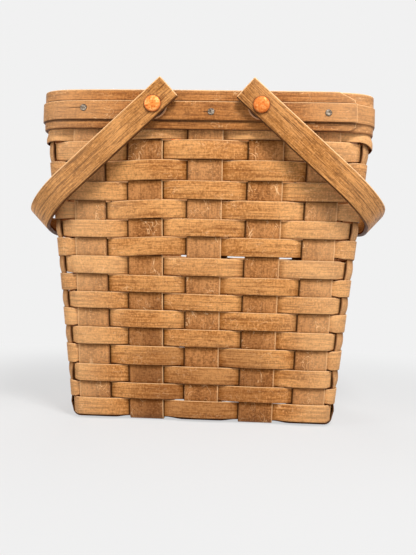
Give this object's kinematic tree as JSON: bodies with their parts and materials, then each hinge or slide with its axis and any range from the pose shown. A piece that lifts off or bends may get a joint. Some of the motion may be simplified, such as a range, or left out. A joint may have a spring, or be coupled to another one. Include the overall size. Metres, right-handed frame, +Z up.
{
  "type": "splint basket",
  "caption": "Woven wood splint basket with a nailed rim and bentwood swing handles on rivets, for carrying and storing things.",
  "frame": {"origin": "centre of the basket's bounding box at the surface that it stands on", "axes": "+Z up; -Y is the long face with the lapped rim ends; the right-hand handle rests towards +X"},
  "size_m": [0.2737, 0.1844, 0.2505],
  "materials": {
    "splint_wood": "oiled, satin",
    "rim_wood": "oiled, satin",
    "handle_wood": "oiled, satin",
    "rivet_copper": "worn copper colour",
    "nail_steel": "dull, darkened",
    "washer_leather": "natural"
  },
  "bodies": {
    "basket": {"front_back_upright_1": "splint_wood", "front_back_upright_2": "splint_wood", "front_back_upright_3": "splint_wood", "front_back_upright_4": "splint_wood", "front_back_upright_5": "splint_wood", "left_right_upright_1": "splint_wood", "left_right_upright_2": "splint_wood", "left_right_upright_3": "splint_wood", "nail_back_left": "nail_steel", "nail_back_middle": "nail_steel", "nail_back_right": "nail_steel", "nail_front_left": "nail_steel", "nail_front_middle": "nail_steel", "nail_front_right": "nail_steel", "nail_left": "nail_steel", "nail_right": "nail_steel", "rim_inner_band": "rim_wood", "rim_outer_band": "rim_wood", "rim_trim_strip": "rim_wood", "rivet_back_left": "rivet_copper", "rivet_back_right": "rivet_copper", "rivet_burr_back_left": "rivet_copper", "rivet_burr_back_right": "rivet_copper", "rivet_burr_front_left": "rivet_copper", "rivet_burr_front_right": "rivet_copper", "rivet_front_left": "rivet_copper", "rivet_front_right": "rivet_copper", "washer_back_left": "washer_leather", "washer_back_right": "washer_leather", "washer_front_left": "washer_leather", "washer_front_right": "washer_leather", "weaver_row_01": "splint_wood", "weaver_row_02": "splint_wood", "weaver_row_03": "splint_wood", "weaver_row_04": "splint_wood", "weaver_row_05": "splint_wood", "weaver_row_06": "splint_wood", "weaver_row_07": "splint_wood", "weaver_row_08": "splint_wood", "weaver_row_09": "splint_wood", "weaver_row_10": "splint_wood", "weaver_row_11": "splint_wood", "weaver_row_12": "splint_wood", "weaver_row_13": "splint_wood", "weaver_row_14": "splint_wood", "weaver_row_15": "splint_wood", "weaver_row_16": "splint_wood", "weaver_row_17": "splint_wood"},
    "left_handle": {"left_handle": "handle_wood"},
    "right_handle": {"right_handle": "handle_wood"}
  },
  "joints": [
    {"name": "left_handle_swing", "type": "hinge", "parent": "basket", "child": "left_handle", "pos_m": [-0.03758, 0, 0.2313], "axis": [0, 1, 0], "range_deg": [-1.4, 146.5]},
    {"name": "right_handle_swing", "type": "hinge", "parent": "basket", "child": "right_handle", "pos_m": [0.03958, 0, 0.2313], "axis": [0, -1, 0], "range_deg": [-1.4, 145.5]}
  ]
}
